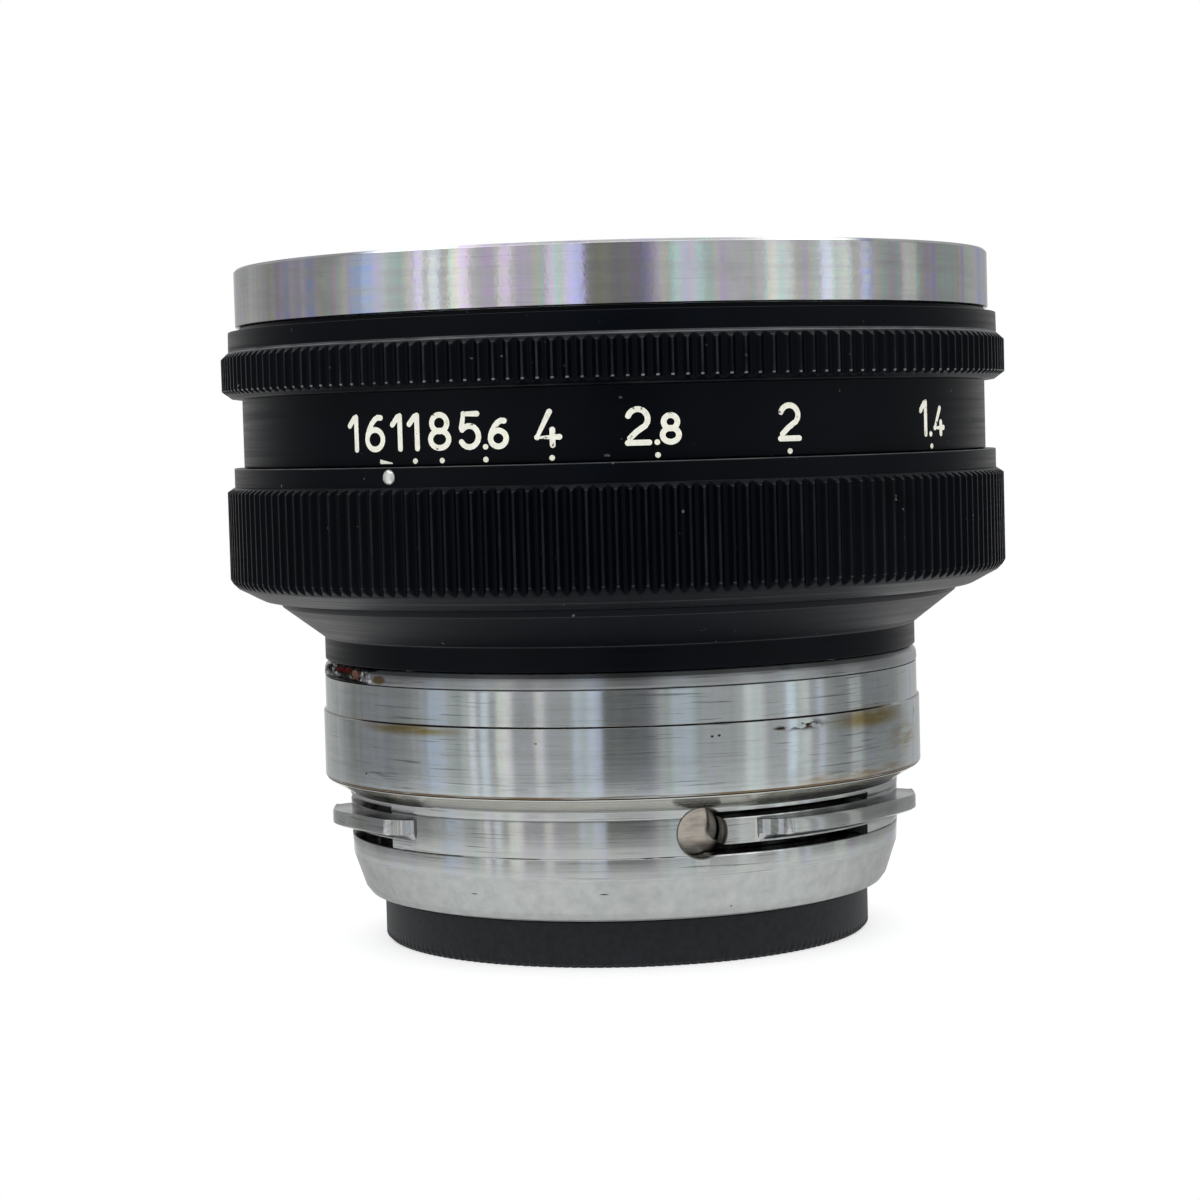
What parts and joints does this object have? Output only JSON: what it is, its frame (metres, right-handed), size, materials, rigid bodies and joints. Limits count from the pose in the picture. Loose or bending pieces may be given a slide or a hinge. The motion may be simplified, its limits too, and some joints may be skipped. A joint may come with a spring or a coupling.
{
  "type": "camera lens",
  "caption": "Fast prime camera lens with an internal-bayonet sleeve, a turning aperture ring with f-numbers, a knurled grip ring, a working iris and glass elements.",
  "frame": {"origin": "middle of the rear end, on the optical axis", "axes": "+Z along the optical axis from the rear end to the front rim; -Y is the side that carries the f-numbers in the rest pose"},
  "size_m": [0.047, 0.047, 0.0403],
  "materials": {
    "black_anodised": "satin black anodised aluminium, worn lighter on the ridges",
    "satin_chrome": "satin turned metal with faint iridescence",
    "turned_aluminium": "bright turned aluminium with fine turning lines and brown stains",
    "matte_black": "matte black paint",
    "optical_glass": "polished, coated",
    "blade_steel": "dark blued steel",
    "brass": "turned",
    "screw_steel": "plain",
    "engraving_paint": "cream-white paint in the engraving and the index mark"
  },
  "bodies": {
    "lens_body": {"front_rim": "satin_chrome", "front_retaining_ring": "matte_black", "grip_ring": "black_anodised", "index_bead": "engraving_paint", "rear_housing": "black_anodised", "mount_collar": "turned_aluminium", "mount_ring": "turned_aluminium", "mount_screw_1": "screw_steel", "mount_screw_2": "screw_steel", "mount_screw_3": "screw_steel", "mount_screw_4": "screw_steel", "bayonet_sleeve": "turned_aluminium", "rear_guard_ring": "matte_black", "rear_cell": "matte_black", "rear_group_retainer": "matte_black", "inner_barrel": "matte_black", "element_spacer": "matte_black", "lens_element_1": "optical_glass", "lens_element_2": "optical_glass", "lens_element_3": "optical_glass", "lens_element_4": "optical_glass", "lens_element_5": "optical_glass", "lens_element_6": "optical_glass", "lens_element_7": "optical_glass", "iris_base_plate": "brass", "iris_retaining_ring": "brass"},
    "aperture_ring_unit": {"aperture_ring": "black_anodised", "aperture_drive_screw": "screw_steel", "iris_cam_ring": "brass"},
    "iris_blade_01": {"iris_blade_01": "blade_steel"},
    "iris_blade_02": {"iris_blade_02": "blade_steel"},
    "iris_blade_03": {"iris_blade_03": "blade_steel"},
    "iris_blade_04": {"iris_blade_04": "blade_steel"},
    "iris_blade_05": {"iris_blade_05": "blade_steel"},
    "iris_blade_06": {"iris_blade_06": "blade_steel"},
    "iris_blade_07": {"iris_blade_07": "blade_steel"},
    "iris_blade_08": {"iris_blade_08": "blade_steel"},
    "iris_blade_09": {"iris_blade_09": "blade_steel"},
    "iris_blade_10": {"iris_blade_10": "blade_steel"},
    "iris_blade_11": {"iris_blade_11": "blade_steel"},
    "iris_blade_12": {"iris_blade_12": "blade_steel"},
    "iris_blade_13": {"iris_blade_13": "blade_steel"},
    "iris_blade_14": {"iris_blade_14": "blade_steel"},
    "iris_blade_15": {"iris_blade_15": "blade_steel"}
  },
  "joints": [
    {"name": "aperture_turn", "type": "hinge", "parent": "lens_body", "child": "aperture_ring_unit", "pos_m": [0, 0, 0.0326], "axis": [0, 0, 1], "range_deg": [-86.4, 0]},
    {"name": "iris_blade_01_swing", "type": "hinge", "parent": "lens_body", "child": "iris_blade_01", "pos_m": [0.014, 0, 0.01862], "axis": [0, 0, 1], "range_deg": [-41.2, 0]},
    {"name": "iris_blade_02_swing", "type": "hinge", "parent": "lens_body", "child": "iris_blade_02", "pos_m": [0.01279, 0.00569, 0.01873], "axis": [0, 0, 1], "range_deg": [-41.2, 0]},
    {"name": "iris_blade_03_swing", "type": "hinge", "parent": "lens_body", "child": "iris_blade_03", "pos_m": [0.00937, 0.0104, 0.01884], "axis": [0, 0, 1], "range_deg": [-41.2, 0]},
    {"name": "iris_blade_04_swing", "type": "hinge", "parent": "lens_body", "child": "iris_blade_04", "pos_m": [0.00433, 0.01331, 0.01895], "axis": [0, 0, 1], "range_deg": [-41.2, 0]},
    {"name": "iris_blade_05_swing", "type": "hinge", "parent": "lens_body", "child": "iris_blade_05", "pos_m": [-0.00146, 0.01392, 0.01906], "axis": [0, 0, 1], "range_deg": [-41.2, 0]},
    {"name": "iris_blade_06_swing", "type": "hinge", "parent": "lens_body", "child": "iris_blade_06", "pos_m": [-0.007, 0.01212, 0.01917], "axis": [0, 0, 1], "range_deg": [-41.2, 0]},
    {"name": "iris_blade_07_swing", "type": "hinge", "parent": "lens_body", "child": "iris_blade_07", "pos_m": [-0.01133, 0.00823, 0.01928], "axis": [0, 0, 1], "range_deg": [-41.2, 0]},
    {"name": "iris_blade_08_swing", "type": "hinge", "parent": "lens_body", "child": "iris_blade_08", "pos_m": [-0.01369, 0.00291, 0.01939], "axis": [0, 0, 1], "range_deg": [-41.2, 0]},
    {"name": "iris_blade_09_swing", "type": "hinge", "parent": "lens_body", "child": "iris_blade_09", "pos_m": [-0.01369, -0.00291, 0.0195], "axis": [0, 0, 1], "range_deg": [-41.2, 0]},
    {"name": "iris_blade_10_swing", "type": "hinge", "parent": "lens_body", "child": "iris_blade_10", "pos_m": [-0.01133, -0.00823, 0.01961], "axis": [0, 0, 1], "range_deg": [-41.2, 0]},
    {"name": "iris_blade_11_swing", "type": "hinge", "parent": "lens_body", "child": "iris_blade_11", "pos_m": [-0.007, -0.01212, 0.01972], "axis": [0, 0, 1], "range_deg": [-41.2, 0]},
    {"name": "iris_blade_12_swing", "type": "hinge", "parent": "lens_body", "child": "iris_blade_12", "pos_m": [-0.00146, -0.01392, 0.01983], "axis": [0, 0, 1], "range_deg": [-41.2, 0]},
    {"name": "iris_blade_13_swing", "type": "hinge", "parent": "lens_body", "child": "iris_blade_13", "pos_m": [0.00433, -0.01331, 0.01994], "axis": [0, 0, 1], "range_deg": [-41.2, 0]},
    {"name": "iris_blade_14_swing", "type": "hinge", "parent": "lens_body", "child": "iris_blade_14", "pos_m": [0.00937, -0.0104, 0.02005], "axis": [0, 0, 1], "range_deg": [-41.2, 0]},
    {"name": "iris_blade_15_swing", "type": "hinge", "parent": "lens_body", "child": "iris_blade_15", "pos_m": [0.01279, -0.00569, 0.02016], "axis": [0, 0, 1], "range_deg": [-41.2, 0]}
  ],
  "couplings": [
    {"joint": "iris_blade_01_swing", "follows": "aperture_turn", "ratio": 0.4745},
    {"joint": "iris_blade_02_swing", "follows": "aperture_turn", "ratio": 0.4745},
    {"joint": "iris_blade_03_swing", "follows": "aperture_turn", "ratio": 0.4745},
    {"joint": "iris_blade_04_swing", "follows": "aperture_turn", "ratio": 0.4745},
    {"joint": "iris_blade_05_swing", "follows": "aperture_turn", "ratio": 0.4745},
    {"joint": "iris_blade_06_swing", "follows": "aperture_turn", "ratio": 0.4745},
    {"joint": "iris_blade_07_swing", "follows": "aperture_turn", "ratio": 0.4745},
    {"joint": "iris_blade_08_swing", "follows": "aperture_turn", "ratio": 0.4745},
    {"joint": "iris_blade_09_swing", "follows": "aperture_turn", "ratio": 0.4745},
    {"joint": "iris_blade_10_swing", "follows": "aperture_turn", "ratio": 0.4745},
    {"joint": "iris_blade_11_swing", "follows": "aperture_turn", "ratio": 0.4745},
    {"joint": "iris_blade_12_swing", "follows": "aperture_turn", "ratio": 0.4745},
    {"joint": "iris_blade_13_swing", "follows": "aperture_turn", "ratio": 0.4745},
    {"joint": "iris_blade_14_swing", "follows": "aperture_turn", "ratio": 0.4745},
    {"joint": "iris_blade_15_swing", "follows": "aperture_turn", "ratio": 0.4745}
  ]
}
